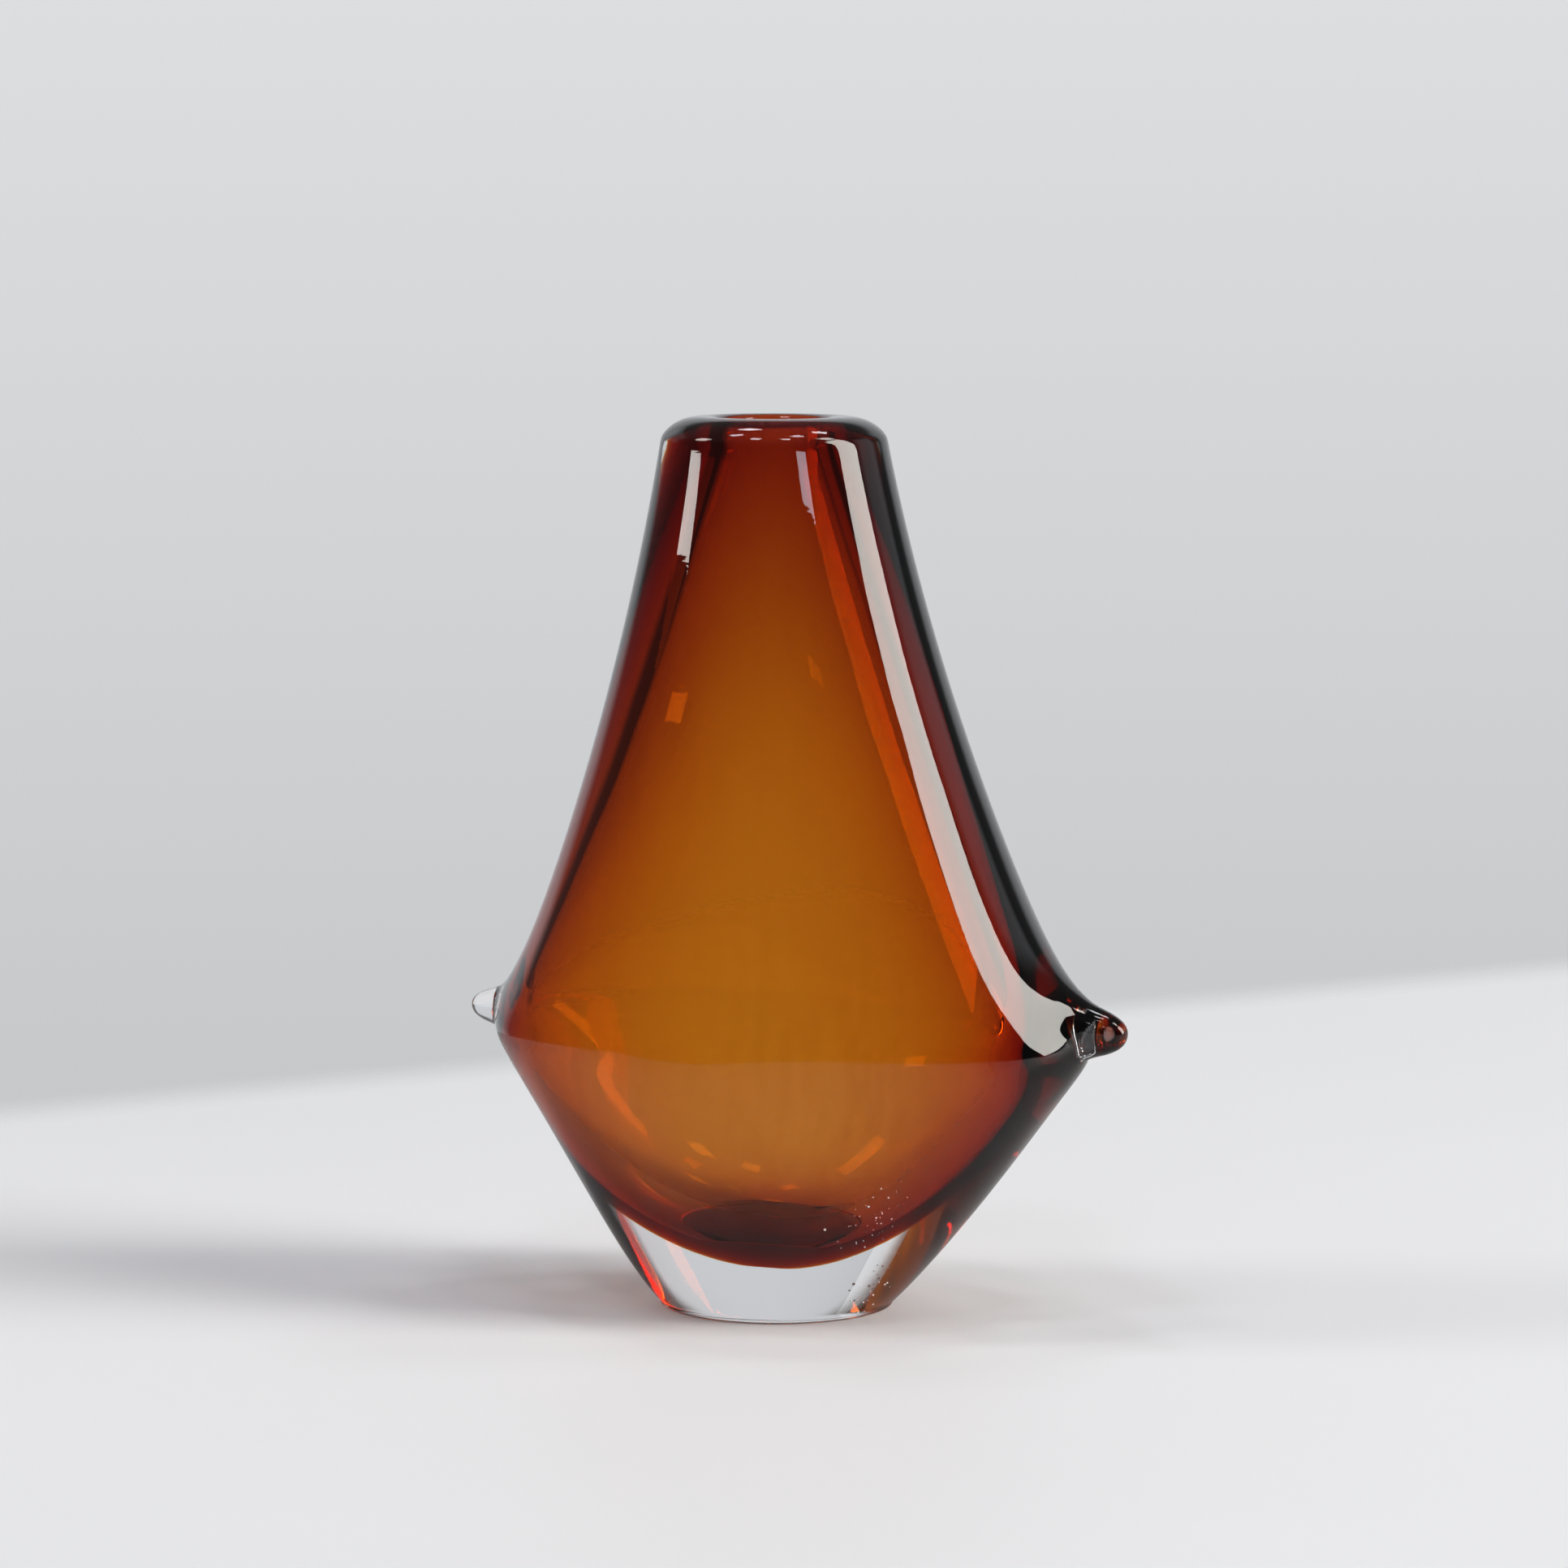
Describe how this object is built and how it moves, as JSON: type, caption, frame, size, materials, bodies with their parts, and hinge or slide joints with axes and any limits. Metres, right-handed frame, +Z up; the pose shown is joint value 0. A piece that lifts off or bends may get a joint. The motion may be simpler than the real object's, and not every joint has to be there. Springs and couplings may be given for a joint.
{
  "type": "glass bud vase",
  "caption": "Cased glass bud vase: an amber lining in thick clear glass, with a flattened body, a sharp keel, a blunt drawn point at each end and a flat ground foot.",
  "frame": {"origin": "centre of the ground foot, on the surface that the vase stands on", "axes": "+Z up the vase to its mouth, +X along the body's long axis towards the long drawn point, +Y from front to back"},
  "size_m": [0.1582, 0.0892, 0.2],
  "materials": {
    "amber_glass": "gloss",
    "clear_glass": "gloss"
  },
  "bodies": {
    "root": {"amber_lining": "amber_glass", "clear_casing": "clear_glass", "long_point": "clear_glass", "short_point": "clear_glass"}
  },
  "joints": []
}
